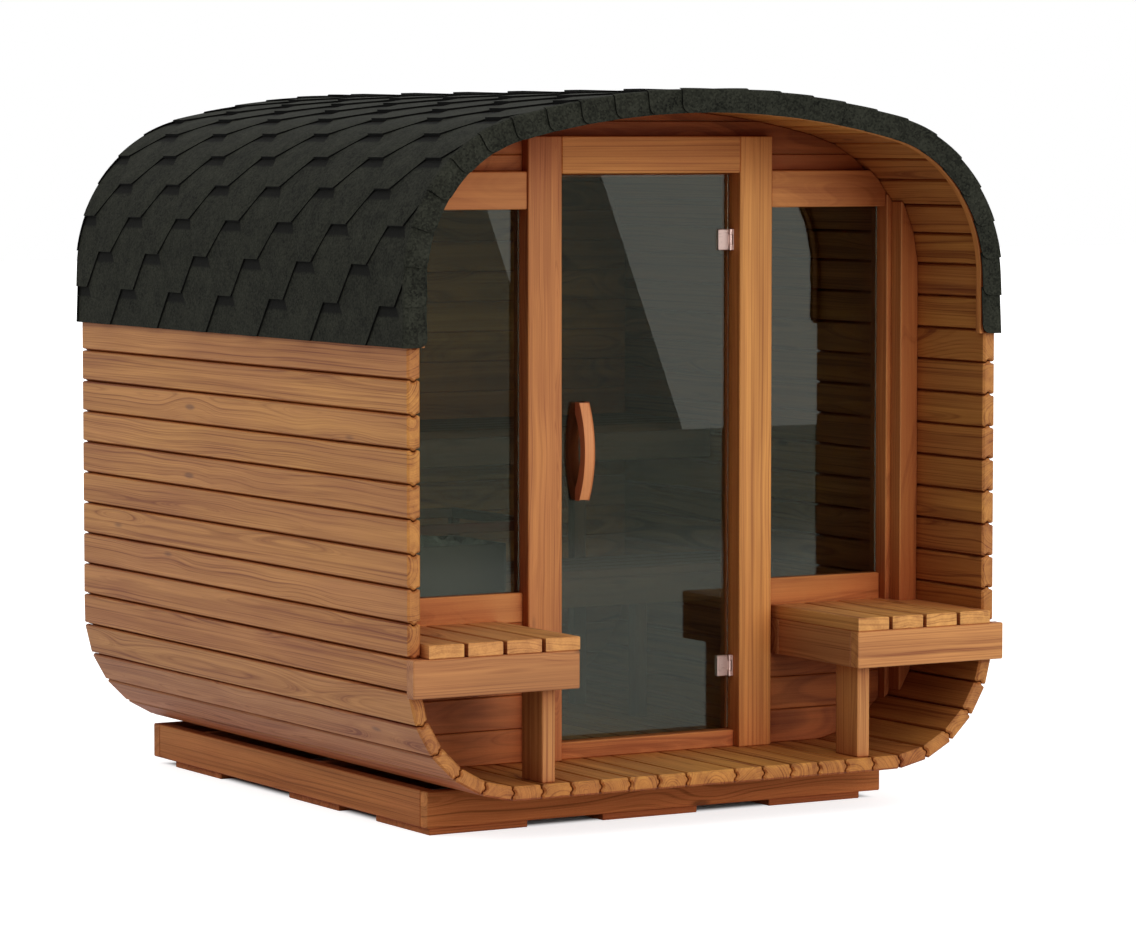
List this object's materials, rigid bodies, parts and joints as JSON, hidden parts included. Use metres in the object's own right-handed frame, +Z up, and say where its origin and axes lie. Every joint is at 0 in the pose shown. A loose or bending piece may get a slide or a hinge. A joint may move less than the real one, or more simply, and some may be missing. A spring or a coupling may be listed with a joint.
{
  "type": "outdoor sauna",
  "caption": "Stave-built outdoor sauna with rounded corners, shingled roof, two porch benches and a glazed front with a hinged glass door.",
  "frame": {"origin": "on the ground, under the middle of the whole sauna's width and length", "axes": "+X to the right as seen from the front, +Y from the porch to the back wall along the staves, +Z up"},
  "size_m": [2.121, 2.31, 2.2355],
  "materials": {
    "stave_timber": "oiled heat-treated pine, planed",
    "frame_timber": "oiled heat-treated pine, planed",
    "board_timber": "oiled heat-treated pine, planed",
    "bench_timber": "oiled heat-treated pine, planed",
    "cabin_timber": "oiled heat-treated pine, planed",
    "base_timber": "pressure-treated brown pine",
    "handle_timber": "oiled heat-treated ash, sanded",
    "bitumen_shingle": "matt mineral-granule bitumen shingle",
    "smoked_glass": "polished smoked toughened glass",
    "satin_metal": "satin-plated zinc alloy",
    "heater_steel": "brushed stainless steel"
  },
  "bodies": {
    "cabin": {"base_pads": "base_timber", "base_side_beams": "base_timber", "base_cross_beams": "base_timber", "floor_staves": "stave_timber", "left_bottom_staves": "stave_timber", "right_bottom_staves": "stave_timber", "left_wall_staves": "stave_timber", "right_wall_staves": "stave_timber", "left_shoulder_staves": "stave_timber", "right_shoulder_staves": "stave_timber", "crown_staves": "stave_timber", "left_roof_shingles": "bitumen_shingle", "crown_roof_shingles": "bitumen_shingle", "right_roof_shingles": "bitumen_shingle", "front_roof_trim": "bitumen_shingle", "back_roof_trim": "bitumen_shingle", "front_arch_lath": "frame_timber", "door_posts": "frame_timber", "door_lintel": "frame_timber", "door_sill": "frame_timber", "door_stop": "frame_timber", "window_top_rails": "frame_timber", "window_bottom_rails": "frame_timber", "wall_jambs": "frame_timber", "porch_battens": "frame_timber", "window_panes": "smoked_glass", "lower_boards": "board_timber", "gable_boards": "board_timber", "back_wall": "board_timber", "hinge_plates": "satin_metal", "left_bench_slats": "bench_timber", "right_bench_slats": "bench_timber", "bench_front_boards": "bench_timber", "bench_side_rails": "bench_timber", "bench_back_rails": "bench_timber", "bench_legs": "bench_timber", "upper_bench_slats": "cabin_timber", "upper_bench_frame": "cabin_timber", "lower_bench_slats": "cabin_timber", "lower_bench_frame": "cabin_timber", "heater": "heater_steel", "heater_guard": "cabin_timber"},
    "door": {"door_glass": "smoked_glass", "hinge_clamps": "satin_metal", "door_handles": "handle_timber"}
  },
  "joints": [
    {"name": "door_hinge", "type": "hinge", "parent": "cabin", "child": "door", "pos_m": [0.354, -0.655, 1.1], "axis": [0, 0, 1], "range_deg": [0, 90]}
  ]
}
